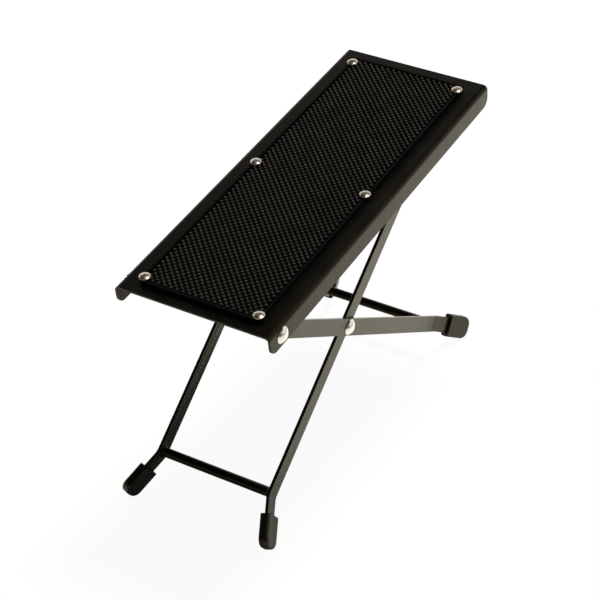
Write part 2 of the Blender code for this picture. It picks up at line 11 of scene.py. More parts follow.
import bmesh
import bpy
from mathutils import Matrix, Vector
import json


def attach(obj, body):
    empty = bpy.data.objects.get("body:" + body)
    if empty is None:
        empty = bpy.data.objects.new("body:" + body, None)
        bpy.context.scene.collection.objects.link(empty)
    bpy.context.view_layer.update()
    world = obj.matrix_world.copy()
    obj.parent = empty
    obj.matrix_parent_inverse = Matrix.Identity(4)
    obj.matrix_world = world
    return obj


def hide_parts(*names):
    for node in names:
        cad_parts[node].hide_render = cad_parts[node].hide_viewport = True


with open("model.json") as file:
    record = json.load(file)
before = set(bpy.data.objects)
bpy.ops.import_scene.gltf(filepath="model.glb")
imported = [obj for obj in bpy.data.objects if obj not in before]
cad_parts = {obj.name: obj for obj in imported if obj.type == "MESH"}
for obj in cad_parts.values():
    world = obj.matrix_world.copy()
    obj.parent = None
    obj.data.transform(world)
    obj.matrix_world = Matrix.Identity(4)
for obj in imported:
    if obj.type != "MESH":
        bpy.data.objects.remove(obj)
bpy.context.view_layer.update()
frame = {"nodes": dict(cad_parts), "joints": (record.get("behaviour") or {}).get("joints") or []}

# %% [markdown]
# ## Three places to work from
#
# The deck and both leg frames lean. A piece is easiest to model straight, along the
# world's axes, and to lean at the end, so each of the three gets a matrix that carries it
# from the workbench to its place. The deck turns about its rivets and the legs cross at
# the scissor rivets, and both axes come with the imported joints.

# %% Places
MM = 0.001
pivots = {joint["name"]: Vector(joint["pos_m"]) for joint in frame["joints"]}
DECK_SLOPE = math.radians(6.7486)
REAR_FALL = math.radians(31.2515)
FRONT_RISE = math.radians(38.5485)
RIGHT_ANGLE = math.radians(90)


def leaning(pivot, angle):
    """A matrix that turns the workbench about X and carries its origin to a pivot."""
    return Matrix.Translation(pivot) @ Matrix.Rotation(angle, 4, "X")


ON_DECK = leaning(pivots["deck_fold"], DECK_SLOPE)
ON_REAR_LEGS = leaning(pivots["leg_fold"], 2 * RIGHT_ANGLE - REAR_FALL)
ON_FRONT_LEGS = leaning(pivots["leg_fold"], FRONT_RISE)
print("deck rivets at", pivots["deck_fold"], "scissor rivets at", pivots["leg_fold"])

# %% [markdown]
# ## A few workbench helpers
#
# Operators act on whatever is selected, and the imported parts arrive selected, so every
# piece starts from an empty selection. Faces and edges are then picked by where they are,
# as a hand would click them, and a finished piece is carried to its place with its place
# stored in its mesh.

# %% Helpers for modelling
def deselect():
    """Leaves edit mode and empties the selection."""
    if bpy.context.object and bpy.context.object.mode != "OBJECT":
        bpy.ops.object.mode_set(mode="OBJECT")
    bpy.ops.object.select_all(action="DESELECT")


def edit(name):
    """Names the new primitive and goes into edit mode on it."""
    piece = bpy.context.object
    piece.name = name
    piece.data.name = name
    bpy.ops.object.mode_set(mode="EDIT")
    return piece


def object_mode():
    """Leaves edit mode."""
    bpy.ops.object.mode_set(mode="OBJECT")


def pick(kind, wanted):
    """Selects the VERT, EDGE or FACE elements that wanted(element) says yes to."""
    bpy.ops.mesh.select_mode(type=kind)
    bpy.ops.mesh.select_all(action="DESELECT")
    mesh = bpy.context.object.data
    shape = bmesh.from_edit_mesh(mesh)
    elements = {"VERT": shape.verts, "EDGE": shape.edges, "FACE": shape.faces}[kind]
    found = [element for element in elements if wanted(element)]
    for element in found:
        element.select_set(True)
    shape.select_flush_mode()
    bmesh.update_edit_mesh(mesh)
    return len(found)


def middle(element):
    """The middle of an edge or face."""
    points = [vertex.co for vertex in element.verts]
    return sum(points, Vector()) / len(points)


def runs_along(edge, axis):
    """True for an edge that is parallel to an axis: 0, 1 or 2 for X, Y or Z."""
    way = edge.verts[0].co - edge.verts[1].co
    return abs(way[axis]) > 0.99 * way.length


def only(piece):
    """Makes one object the only selected and the active one."""
    deselect()
    piece.select_set(True)
    bpy.context.view_layer.objects.active = piece


def apply(piece, kind, **settings):
    """Adds one modifier to a piece, sets it and applies it."""
    only(piece)
    modifier = piece.modifiers.new(kind.lower(), kind)
    for key, value in settings.items():
        setattr(modifier, key, value)
    bpy.ops.object.modifier_apply(modifier=modifier.name)


def cut(piece, cutter):
    """Takes the cutter's shape out of a piece, and throws the cutter away."""
    apply(piece, "BOOLEAN", operation="DIFFERENCE", object=cutter, solver="EXACT")
    bpy.data.objects.remove(cutter)


def mend(piece):
    """Merges doubles and turns all faces outwards."""
    only(piece)
    bpy.ops.object.mode_set(mode="EDIT")
    bpy.ops.mesh.select_all(action="SELECT")
    bpy.ops.mesh.remove_doubles(threshold=1e-6)
    bpy.ops.mesh.normals_make_consistent(inside=False)
    bpy.ops.object.mode_set(mode="OBJECT")


def soften(piece, width, steps=2, angle=40):
    """Rounds the sharp edges, as paint and tumbling do, and shades the rest smooth."""
    apply(piece, "BEVEL", width=width, segments=steps, limit_method="ANGLE",
          angle_limit=math.radians(angle), harden_normals=False)
    bpy.ops.object.shade_smooth_by_angle(angle=math.radians(35))
    apply(piece, "WEIGHTED_NORMAL", keep_sharp=True)


def settle(piece, place):
    """Carries a finished piece to its place and stores the place in its mesh."""
    only(piece)
    piece.matrix_world = place @ piece.matrix_world
    bpy.ops.object.transform_apply(location=True, rotation=True, scale=True)


def twin(piece, name, place):
    """A copy with its own mesh, moved or mirrored by a matrix."""
    copy = piece.copy()
    copy.data = piece.data.copy()
    copy.name = name
    copy.data.name = name
    bpy.context.scene.collection.objects.link(copy)
    copy.matrix_world = place @ piece.matrix_world
    only(copy)
    bpy.ops.object.transform_apply(location=True, rotation=True, scale=True)
    if place.determinant() < 0:
        mend(copy)
    return copy


def join(pieces, name):
    """Makes one piece of several, in the first one's object."""
    deselect()
    for piece in pieces:
        piece.select_set(True)
    bpy.context.view_layer.objects.active = pieces[0]
    bpy.ops.object.join()
    pieces[0].name = name
    return pieces[0]


def report(piece):
    """Prints a piece's size and its number of faces."""
    box = [tuple(corner) for corner in piece.bound_box]
    size = [round((max(axis) - min(axis)) / MM, 1) for axis in zip(*box)]
    print(piece.name, "measures", size, "mm,", len(piece.data.polygons), "faces")


MIRROR = Matrix.Scale(-1, 4, (1, 0, 0))
SIDES = {"right": Matrix.Identity(4), "left": MIRROR}


# %% [markdown]
# ## Round pieces
#
# Rivets, screws and rods are turned or headed from round wire. Here a filled circle is
# drawn out ring by ring: each step extrudes the last face, moves it along and gives it
# its next radius, as on a lathe. The last ring is collapsed, which closes the pole of a
# dome with a fan of small faces.

# %% Helpers for round pieces
def turned(name, profile, sides=64):
    """A round piece along Z, from (radius, height) pairs in millimetres, bottom to top."""
    deselect()
    radius, height = profile[0]
    bpy.ops.mesh.primitive_circle_add(
        vertices=sides, radius=radius * MM, fill_type="NGON", location=(0, 0, 0)
    )
    piece = edit(name)
    bpy.ops.transform.translate(value=(0, 0, height * MM))
    for next_radius, next_height in profile[1:]:
        bpy.ops.mesh.extrude_region_move(
            TRANSFORM_OT_translate={"value": (0, 0, (next_height - height) * MM)}
        )
        share = next_radius / radius if next_radius else 0.001
        bpy.ops.transform.resize(value=(share, share, 1))
        radius, height = next_radius or radius * share, next_height
    if not profile[-1][0]:
        bpy.ops.mesh.merge(type="COLLAPSE")
    object_mode()
    mend(piece)
    return piece


def dome(radius, rise, base, steps=10):
    """(radius, height) pairs of a low dome in millimetres, from its rim to its top."""
    ball = (radius * radius + rise * rise) / (2 * rise)
    rim = math.asin(radius / ball)
    turns = [rim * (1 - step / steps) for step in range(steps + 1)]
    return [
        (ball * math.sin(turn), base + rise - ball + ball * math.cos(turn)) for turn in turns
    ]


def chamfer(radius, face, inwards=0.2, up=0.15):
    """(radius, height) pairs of the small chamfer under a head that lies on a face."""
    return [(radius - inwards, face), (radius, face + up)]


# %% [markdown]
# ## Deck tray
#
# The deck is one steel sheet, 1.5 mm thick, with both long sides folded down and the
# lower corners of the folds rounded off so that they don't catch. A press brake makes it
# from a flat blank. It could be cut from a block, but it is quicker to do as the press
# does: start from a flat plane, draw the sides down, round the folds, and only then give
# the skin its thickness.

# %% Deck tray
DECK_WIDTH, DECK_LENGTH, SHEET, SIDE_DEPTH = 119, 308, 1.5, 16
DECK_LOW_END, DECK_TOP = -14.5, 8.1  # from the deck rivets
FOLD_RADIUS, CORNER_RADIUS = 3.5, 7

deselect()
bpy.ops.mesh.primitive_plane_add(size=MM)
tray = edit("deck_tray_sheet")
bpy.ops.transform.resize(value=(DECK_WIDTH, DECK_LENGTH, 1))
bpy.ops.transform.translate(value=(0, (DECK_LENGTH / 2 + DECK_LOW_END) * MM, DECK_TOP * MM))
pick("EDGE", lambda edge: runs_along(edge, 1))
bpy.ops.mesh.extrude_region_move(TRANSFORM_OT_translate={"value": (0, 0, -SIDE_DEPTH * MM)})
bpy.ops.mesh.select_all(action="SELECT")
bpy.ops.mesh.normals_make_consistent(inside=False)
pick("EDGE", lambda edge: runs_along(edge, 1) and edge.verts[0].co.z > 0)
bpy.ops.mesh.bevel(offset=FOLD_RADIUS * MM, segments=8, affect="EDGES")
object_mode()
apply(tray, "SOLIDIFY", thickness=SHEET * MM, offset=-1, use_even_offset=True)
mend(tray)
bpy.ops.object.mode_set(mode="EDIT")
lower = (DECK_TOP - SIDE_DEPTH + 1) * MM
pick("EDGE", lambda edge: runs_along(edge, 0) and middle(edge).z < lower)
bpy.ops.mesh.bevel(offset=CORNER_RADIUS * MM, segments=12, affect="EDGES")
object_mode()

# %% Holes in the deck
SCREW_PLACES = [(x, y) for y in (-1.2, 136.8, 274.8) for x in (-43.9, 43.9)]
SHANK_HOLE, SCREW_HOLE = 3.3, 1.9  # radii
CUTTER_REACH = 70


def drill_screw_holes(piece, reach, sides):
    """Six holes, each reaching so many millimetres up and down from the deck's top."""
    for across, along in SCREW_PLACES:
        hole = turned("hole", [(SCREW_HOLE, -reach), (SCREW_HOLE, reach)], sides)
        hole.location = (across * MM, along * MM, DECK_TOP * MM)
        cut(piece, hole)


drill_screw_holes(tray, reach=5, sides=32)
# One long cutter runs past both sides of the tray and makes both rivet holes.
hole = turned("hole", [(SHANK_HOLE, -CUTTER_REACH), (SHANK_HOLE, CUTTER_REACH)], sides=48)
hole.rotation_euler = (0, RIGHT_ANGLE, 0)
cut(tray, hole)
soften(tray, 0.3 * MM)
settle(tray, ON_DECK)
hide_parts("deck_tray")
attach(tray, "deck")
report(tray)

# %% [markdown]
# ## Rubber mat
#
# The mat keeps a shoe from sliding. It is moulded in one piece: a slab with a narrow
# smooth border, and inside the border a field of small pimples in staggered rows. The
# slab is a block whose top is inset and pushed down. One pimple is drawn out from an
# eight-sided disc, and arrays repeat it, because two thousand pimples by hand would be
# two thousand chances for a slip.

# %% Mat slab
MAT_WIDTH, MAT_LENGTH, MAT_HEIGHT = 92.6, 288, 3.3
MAT_BORDER, MAT_CORNER, FIELD_DEPTH = 1.7, 3, 1.4
BARE_END = 8.6  # the strip of deck that shows past the mat's low end
mat_middle = DECK_LOW_END + BARE_END + MAT_LENGTH / 2

deselect()
bpy.ops.mesh.primitive_cube_add(size=MM)
mat = edit("pimpled_mat")
bpy.ops.transform.resize(value=(MAT_WIDTH, MAT_LENGTH, MAT_HEIGHT))
bpy.ops.transform.translate(value=(0, mat_middle * MM, (DECK_TOP + MAT_HEIGHT / 2) * MM))
pick("EDGE", lambda edge: runs_along(edge, 2))
bpy.ops.mesh.bevel(offset=MAT_CORNER * MM, segments=8, affect="EDGES")
pick("FACE", lambda face: face.normal.z > 0.9)
bpy.ops.mesh.inset(thickness=MAT_BORDER * MM, depth=0)
bpy.ops.mesh.extrude_region_move(TRANSFORM_OT_translate={"value": (0, 0, -FIELD_DEPTH * MM)})
object_mode()
drill_screw_holes(mat, reach=9, sides=24)
soften(mat, 0.35 * MM, steps=3)
report(mat)

# %% Pimples
PITCH_ACROSS, PITCH_ALONG = 4.82, 4.79
LONG_RADIUS, SHORT_RADIUS = 1.5, 1.15
COUNT_ACROSS, COUNT_ALONG = 18, 59
PIMPLE_PROFILE = [(1.0, -0.1), (0.94, 0.7), (0.76, 1.1), (0.4, 1.36)]  # radius as a share
field_floor = DECK_TOP + MAT_HEIGHT - FIELD_DEPTH

pimple = turned("pimples", PIMPLE_PROFILE, sides=8)
pimple.scale = (LONG_RADIUS, SHORT_RADIUS, 1)
pimple.rotation_euler = (0, 0, -RIGHT_ANGLE / 2)
first_across = -(COUNT_ACROSS - 0.5) * PITCH_ACROSS / 2
first_along = mat_middle - (COUNT_ALONG - 0.5) * PITCH_ALONG / 2
settle(pimple, Matrix.Translation((first_across * MM, first_along * MM, field_floor * MM)))
half_step = Matrix.Translation((PITCH_ACROSS / 2 * MM, PITCH_ALONG / 2 * MM, 0))
pimples = join([pimple, twin(pimple, "offset_row", half_step)], "pimples")
for count, step in (
    (COUNT_ACROSS, (PITCH_ACROSS * MM, 0, 0)),
    (COUNT_ALONG, (0, PITCH_ALONG * MM, 0)),
):
    apply(pimples, "ARRAY", count=count, use_relative_offset=False,
          use_constant_offset=True, constant_offset_displace=step)
only(pimples)
bpy.ops.object.shade_smooth_by_angle(angle=math.radians(50))
report(pimples)
mat = join([mat, pimples], "pimpled_mat")
settle(mat, ON_DECK)
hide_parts("rubber_mat")
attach(mat, "deck")
report(mat)

# %% [markdown]
# ## Screws
#
# Six slotted screws hold the mat. Each head is a low dome with a rounded edge: a header
# punches it from wire and a saw cuts the slot. The screw is drawn out from its tip, round
# the edge of the head, to the top of its dome. A thin block takes the slot out, and the
# slot's edges are broken so that they catch the light. One screw is made and copied to
# six places, each turned differently, because nobody lines up screw slots.

# %% Screws
HEAD_RADIUS, HEAD_SIDE, HEAD_CORNER, HEAD_RISE = 4.0, 0.3, 0.6, 1.05
EDGE_TURN, EDGE_STEPS = 0.85 * RIGHT_ANGLE, 6
STEP_IN, STEP_UP = 0.12, 0.06  # from the edge's last ring to the dome's first
SLOT_WIDTH, SLOT_DEPTH = 0.8, 0.7
SLOT_TURNS = (38, 27, 46, 33, 24, 41)  # degrees
SCREW_SHANK, SCREW_TIP = 1.6, -1.6

# Heights count from the deck's top, so the head starts on the mat's. The edge turns most
# of a right angle and meets the dome at a flat slope.
corner_turns = [step * EDGE_TURN / EDGE_STEPS for step in range(EDGE_STEPS)]
corner = [
    (HEAD_RADIUS - HEAD_CORNER * (1 - math.cos(turn)),
     MAT_HEIGHT + HEAD_SIDE + HEAD_CORNER * math.sin(turn))
    for turn in corner_turns
]
top_radius, top_height = corner[-1]
screw = turned(
    "screw",
    [(SCREW_SHANK, SCREW_TIP), (SCREW_SHANK, MAT_HEIGHT)] + chamfer(HEAD_RADIUS, MAT_HEIGHT)
    + corner + dome(top_radius - STEP_IN, HEAD_RISE, top_height + STEP_UP)
)
deselect()
bpy.ops.mesh.primitive_cube_add(size=MM)
slot = edit("slot")
bpy.ops.transform.resize(value=(3 * HEAD_RADIUS, SLOT_WIDTH, 2 * SLOT_DEPTH))
bpy.ops.transform.translate(value=(0, 0, (top_height + HEAD_RISE) * MM))
object_mode()
cut(screw, slot)
soften(screw, 0.1 * MM, angle=35)
report(screw)

screw_names = [
    f"mat_screw_{row}_{side}" for row in ("low", "middle", "high") for side in ("left", "right")
]
screw_pieces = []
for name, (across, along), angle in zip(screw_names, SCREW_PLACES, SLOT_TURNS):
    place = Matrix.Translation((across * MM, along * MM, DECK_TOP * MM))
    turn = Matrix.Rotation(math.radians(angle), 4, "Z")
    piece = twin(screw, "slotted_" + name, ON_DECK @ place @ turn)
    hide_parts(name)
    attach(piece, "deck")
    screw_pieces.append(piece)
bpy.data.objects.remove(screw)

# %% [markdown]
# ## Rivets
#
# Solid rivets are the axles of the footrest. The deck rivets go through the tray's side,
# a spacer and the rear bar, and end flush in a countersink, because the front bar has to
# pass there when the legs fold. The scissor rivets have a dome outside and a low button
# inside. Both are turned pieces, drawn along Z and laid on their side.

# %% Rivets
FACE_OUT = Matrix.Rotation(RIGHT_ANGLE, 4, "Y")
REAR_BAR_X, FRONT_BAR_X, BAR_THICKNESS, BAR_WIDTH = 48.1, 45.3, 2.5, 12.4
REAR_INNER, REAR_OUTER = REAR_BAR_X - BAR_THICKNESS / 2, REAR_BAR_X + BAR_THICKNESS / 2
FRONT_INNER = FRONT_BAR_X - BAR_THICKNESS / 2
RIVET_RADIUS, RIVET_EDGE, RIVET_RISE, RIVET_SHANK = 6.1, 0.3, 3.0, 3.0
BUTTON_RADIUS, BUTTON_RISE, BUTTON_CHAMFER, BUTTON_GAP = 4.5, 1.7, 0.6, 0.2
SINK_RADIUS, SINK_DEPTH = 4.2, 1.2


def rivet_head(face):
    """The profile of a rivet's head that lies on a face so far out."""
    top = dome(RIVET_RADIUS, RIVET_RISE, face + RIVET_EDGE, steps=14)
    return chamfer(RIVET_RADIUS, face) + top


deck_side = DECK_WIDTH / 2
sunk_end = [(SINK_RADIUS, REAR_INNER), (RIVET_SHANK, REAR_INNER + SINK_DEPTH)]
deck_rivet = turned("deck_rivet", sunk_end + [(RIVET_SHANK, deck_side)] + rivet_head(deck_side))
button = [
    (BUTTON_RADIUS - BUTTON_CHAMFER, FRONT_INNER - BUTTON_RISE),
    (BUTTON_RADIUS, FRONT_INNER - BUTTON_RISE + BUTTON_CHAMFER),
    (BUTTON_RADIUS, FRONT_INNER - BUTTON_GAP), (RIVET_SHANK, FRONT_INNER - BUTTON_GAP),
]
scissor_rivet = turned(
    "scissor_rivet", button + [(RIVET_SHANK, REAR_OUTER)] + rivet_head(REAR_OUTER)
)
rivet_pieces = []
for name, master, place, body in (
    ("deck_rivet", deck_rivet, ON_DECK, "rear_frame"),
    ("scissor_rivet", scissor_rivet, ON_REAR_LEGS, "rear_frame"),
):
    soften(master, 0.1 * MM, angle=45)
    report(master)
    for side, mirror in SIDES.items():
        piece = twin(master, f"domed_{name}_{side}", mirror @ place @ FACE_OUT)
        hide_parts(f"{name}_{side}")
        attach(piece, body)
        rivet_pieces.append(piece)
    bpy.data.objects.remove(master)

# %% [markdown]
# ## Leg bars
#
# Each leg is a flat steel bar, 2.5 by 12.4 mm, with a round upper end and a lower end
# that bends outwards so that the feet stand wider than the deck. A bar is a stretched
# block. Its lower end face is spun about the centre of the bend, which is what a bending
# machine does to the real bar, and then drawn out straight into the foot. Rolled bar has
# soft long edges, and paint makes them softer, so a bevel rounds them.

# %% Leg bars
SPLAY, SPLAY_RADIUS, FOOT_START = math.radians(20), 14, 11.2
FOOT_LENGTH, FOOT_WALL = 22.8, 3.6
REAR_TOP, REAR_BEND = 127.4, 158.2  # up and down from the scissor rivets
FRONT_TOP, FRONT_BEND = 142.3, 126.8
DECK_RIVET_UP = 121.2
TIP_ROUNDING, END_GAP = 6, 0.3
SINK_HOLE, CLEAR = 4.5, 2


def leg_bar(name, across, top, bend_at, holes):
    """The right-hand bar of a leg frame, along Y, its scissor rivet at the origin."""
    deselect()
    bpy.ops.mesh.primitive_cube_add(size=MM)
    bar = edit(name)
    length = top + bend_at
    bpy.ops.transform.resize(value=(BAR_THICKNESS, length, BAR_WIDTH))
    bpy.ops.transform.translate(value=(across * MM, (top - length / 2) * MM, 0))
    pick("FACE", lambda face: face.normal.y < -0.9)
    bend_centre = ((across + SPLAY_RADIUS) * MM, -bend_at * MM, 0)
    bpy.ops.mesh.spin(steps=8, angle=-SPLAY, center=bend_centre, axis=(0, 0, 1))
    run = FOOT_START + FOOT_LENGTH - FOOT_WALL - END_GAP
    way = (run * math.sin(SPLAY) * MM, -run * math.cos(SPLAY) * MM, 0)
    bpy.ops.mesh.extrude_region_move(TRANSFORM_OT_translate={"value": way})
    pick("EDGE", lambda edge: runs_along(edge, 0) and edge.verts[0].co.y > (top - 1) * MM)
    bpy.ops.mesh.bevel(offset=TIP_ROUNDING * MM, segments=12, affect="EDGES")
    object_mode()
    mend(bar)
    for along, profile in holes:
        hole = turned("hole", profile, sides=48)
        hole.matrix_world = Matrix.Translation((0, along * MM, 0)) @ FACE_OUT
        cut(bar, hole)
    soften(bar, 0.45 * MM, steps=3)
    report(bar)
    return bar


# The cutters start and end clear of the bars' faces, so that they cut right through.
shank_hole = [(SHANK_HOLE, FRONT_INNER - CLEAR), (SHANK_HOLE, REAR_OUTER + CLEAR)]
flush_hole = [
    (SINK_HOLE + 1.1, REAR_INNER - 1), (SINK_HOLE, REAR_INNER),
    (SHANK_HOLE, REAR_INNER + SINK_DEPTH), (SHANK_HOLE, REAR_OUTER + CLEAR),
]
rear_holes = [(0, shank_hole), (DECK_RIVET_UP, flush_hole)]
rear_bar = leg_bar("rear_bar", REAR_BAR_X, REAR_TOP, REAR_BEND, rear_holes)
front_bar = leg_bar("front_bar", FRONT_BAR_X, FRONT_TOP, FRONT_BEND, [(0, shank_hole)])
bars = []
for master, place, body in (
    (rear_bar, ON_REAR_LEGS, "rear_frame"), (front_bar, ON_FRONT_LEGS, "front_frame")
):
    for side, mirror in SIDES.items():
        piece = twin(master, f"bent_{master.name}_{side}", mirror @ place)
        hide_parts(f"{body.split('_')[0]}_bar_{side}")
        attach(piece, body)
        bars.append(piece)
bpy.data.objects.remove(rear_bar)
bpy.data.objects.remove(front_bar)

# %% [markdown]
# ## Round rods and their welds
#
# Three 7 mm rods tie the bars together. The one between the upper ends of the front bars
# is the locking rod that drops into the racks. Each rod is welded all round where it
# meets a bar. A weld bead is a small collar that runs out onto the rod, so the rod is
# drawn out with a collar at each end, and a little random movement of the collar's
# points, along their normals, leaves it uneven under the paint.

# %% Rods with weld beads
ROD_RADIUS = 3.5
REAR_ROD, FRONT_ROD, LOCKING_ROD = -152, -127.2, 136.1  # along the bars, up being plus
BEAD = [(5.0, 0), (4.9, 0.35), (4.55, 0.8), (4.1, 1.2), (3.75, 1.55), (ROD_RADIUS, 2.2)]
UNEVEN_FROM, UNEVEN_TO, UNEVENNESS = 0.2, 1.6, 0.14
rods = []


def welded_rod(name, across, along, place, body):
    """A rod between the inner faces of two bars, with a bead at each end."""
    half = across - BAR_THICKNESS / 2
    low_end = [(radius, -half + rise) for radius, rise in BEAD]
    high_end = [(radius, half - rise) for radius, rise in reversed(BEAD)]
    rod = turned("welded_" + name, low_end + high_end, sides=48)
    only(rod)
    bpy.ops.object.mode_set(mode="EDIT")
    for number, end in enumerate((-half, half)):
        count = pick(
            "VERT", lambda vertex: UNEVEN_FROM < abs(vertex.co.z / MM - end) < UNEVEN_TO
        )
        bpy.ops.transform.vertex_random(
            offset=UNEVENNESS * MM, uniform=0.0, normal=1.0, seed=number + 3
        )
        bpy.ops.mesh.vertices_smooth(factor=0.3)
        print(name, "weld has", count, "points")
    object_mode()
    bpy.ops.object.shade_smooth_by_angle(angle=math.radians(50))
    settle(rod, place @ Matrix.Translation((0, along * MM, 0)) @ FACE_OUT)
    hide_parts(name)
    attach(rod, body)
    rods.append(rod)
    report(rod)


welded_rod("rear_crossbar", REAR_BAR_X, REAR_ROD, ON_REAR_LEGS, "rear_frame")
welded_rod("front_crossbar", FRONT_BAR_X, FRONT_ROD, ON_FRONT_LEGS, "front_frame")
welded_rod("locking_rod", FRONT_BAR_X, LOCKING_ROD, ON_FRONT_LEGS, "front_frame")

# %% [markdown]
# ## Rubber caps
#
# The feet are moulded rubber caps pushed over the bars' ends. A cap is a block with its
# far corners well rounded and its edges soft. Its mouth stays crisp, as a mould's parting
# face leaves it, and a slot for the bar runs into it. The block is bevelled twice, first
# the corners and then all that is left sharp except the mouth, and the slot is an inset
# face pushed inwards.

# %% Caps
FOOT_WIDTH, FOOT_THICKNESS = 17.8, 7.6
CAP_CORNER, CAP_EDGE, CAP_SIDE_WALL = 6.5, 2, 2.35


def cap_in_place(across, bend_at):
    """Where the mouth of a right-hand cap is, in its leg frame."""
    out = across + SPLAY_RADIUS * (1 - math.cos(SPLAY)) + FOOT_START * math.sin(SPLAY)
    along = -bend_at - SPLAY_RADIUS * math.sin(SPLAY) - FOOT_START * math.cos(SPLAY)
    return Matrix.Translation((out * MM, along * MM, 0)) @ Matrix.Rotation(SPLAY, 4, "Z")


deselect()
bpy.ops.mesh.primitive_cube_add(size=MM)
cap = edit("rubber_cap")
bpy.ops.transform.resize(value=(FOOT_THICKNESS, FOOT_LENGTH, FOOT_WIDTH))
bpy.ops.transform.translate(value=(0, -FOOT_LENGTH / 2 * MM, 0))
pick("EDGE", lambda edge: runs_along(edge, 0) and edge.verts[0].co.y < -MM)
bpy.ops.mesh.bevel(offset=CAP_CORNER * MM, segments=10, affect="EDGES")
pick("EDGE", lambda edge: middle(edge).y < -MM and edge.calc_face_angle(0) > math.radians(60))
bpy.ops.mesh.bevel(offset=CAP_EDGE * MM, segments=6, affect="EDGES")
pick("FACE", lambda face: face.normal.y > 0.9)
bpy.ops.mesh.inset(thickness=CAP_SIDE_WALL * MM, depth=0)
bpy.ops.mesh.extrude_region_move(
    TRANSFORM_OT_translate={"value": (0, -(FOOT_LENGTH - FOOT_WALL) * MM, 0)}
)
object_mode()
mend(cap)
soften(cap, 0.3 * MM, steps=3, angle=60)
report(cap)
caps = []
for end, across, bend_at, place in (
    ("rear", REAR_BAR_X, REAR_BEND, ON_REAR_LEGS),
    ("front", FRONT_BAR_X, FRONT_BEND, ON_FRONT_LEGS),
):
    on_bar = place @ cap_in_place(across, bend_at)
    for side, mirror in SIDES.items():
        piece = twin(cap, f"moulded_{end}_cap_{side}", mirror @ on_bar)
        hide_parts(f"{end}_foot_{side}")
        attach(piece, f"{end}_frame")
        caps.append(piece)
bpy.data.objects.remove(cap)

# %% [markdown]
# ## Finishes
#
# A procedural finish is a small network of nodes, and all of them here work in the same
# way: texture nodes read the object's own coordinates in metres, so a pattern has a real
# size: a noise of scale 700 has patches of 1/700 m, 1.4 mm. One function adds a node with
# its settings and links, and one turns the colours, written as they show on a screen,
# into the linear values that the shader wants. A Math node has several inputs called
# Value, and the second goes by Blender's inner name for it, Value_001.

# %% Helpers for finishes
def colour(written):
    """A colour written as six sRGB hex digits, as linear values."""
    parts = [int(written[place:place + 2], 16) / 255 for place in (0, 2, 4)]
    linear = [
        part / 12.92 if part <= 0.04045 else ((part + 0.055) / 1.055) ** 2.4 for part in parts
    ]
    return (*linear, 1)


def add(owner, kind, settings=None, **inputs):
    """Adds a node to a material or world. An input is a value, or (node, output) to link."""
    tree = owner.node_tree
    node = tree.nodes.new("ShaderNode" + kind)
    for key, value in (settings or {}).items():
        setattr(node, key, value)
    for key, value in inputs.items():
        names = (key, key.replace("_", " "))
        socket = next(
            item for item in node.inputs
            if item.enabled and (item.name in names or item.identifier in names)
        )
        if isinstance(value, tuple) and isinstance(value[0], bpy.types.Node):
            tree.links.new(value[0].outputs[value[1]], socket)
        else:
            socket.default_value = value
    return node


def feed(owner, node, **sources):
    """Links (node, output) pairs to a node that is already there, such as the shader."""
    for key, (source, output) in sources.items():
        owner.node_tree.links.new(source.outputs[output], node.inputs[key.replace("_", " ")])


def finish(name, **surface):
    """A material with its Principled shader set, and the object's coordinates."""
    material = bpy.data.materials.new(name)
    material.use_nodes = True
    shader = material.node_tree.nodes["Principled BSDF"]
    for key, value in surface.items():
        shader.inputs[key.replace("_", " ")].default_value = value
    return material, shader, add(material, "TexCoord")


def coat(pieces, material):
    """Gives pieces their material."""
    for piece in pieces:
        piece.data.materials.clear()
        piece.data.materials.append(material)
    print(material.name, "is on", len(pieces), "pieces")


# %% [markdown]
# ## Black powder coat
#
# Powder coat is polyester powder baked on the steel. It melts into a skin a tenth of a
# millimetre thick that never gets quite level: the eye sees a satin black with a faint
# orange-peel ripple of a millimetre or two, and gloss that varies a little. The flat leg
# bars shine more than the wide deck and the round rods, so one recipe makes two coats.
# The IOR sets how much each of them mirrors, and a warm tint of that sheen stands for the
# slightly brown black of the powder.

# %% Black powder coat
DECK_SHEEN, LEG_SHEEN = (1.0, 0.8, 0.36, 1.0), (1.0, 0.91, 0.66, 1.0)


def powder_coat(name, gloss_index, sheen):
    """A ripple of about 1.4 mm, and patches of gloss of about 22 mm."""
    powder, shader, where = finish(name, IOR=gloss_index, Specular_Tint=sheen)
    peel = add(powder, "TexNoise", Vector=(where, "Object"), Scale=700.0, Detail=2.0)
    patches = add(powder, "TexNoise", Vector=(where, "Object"), Scale=45.0, Detail=3.0)
    tone = add(powder, "ValToRGB", Fac=(patches, "Fac"))
    low, high = tone.color_ramp.elements
    low.position, low.color = 0.3, colour("040303")
    high.position, high.color = 0.7, colour("080706")
    gloss = add(powder, "MapRange", Value=(patches, "Fac"), To_Min=0.28, To_Max=0.38)
    ripple = add(powder, "Bump", Height=(peel, "Fac"), Strength=0.15, Distance=0.0001)
    feed(powder, shader, Base_Color=(tone, "Color"), Roughness=(gloss, "Result"),
         Normal=(ripple, "Normal"))
    return powder


racks = [frame["nodes"][f"notch_rack_{side}"] for side in SIDES]
coat([tray] + racks + rods, powder_coat("deck_powder_coat", 1.34, DECK_SHEEN))
coat(bars, powder_coat("leg_powder_coat", 1.62, LEG_SHEEN))

# %% [markdown]
# ## Cap rubber
#
# The caps are black rubber filled with carbon and moulded in a polished mould, so they
# are smooth with a soft sheen on their rounded edges. A fine grain of about a third of a
# millimetre and a slow change of tone, about every 17 mm, break it up.

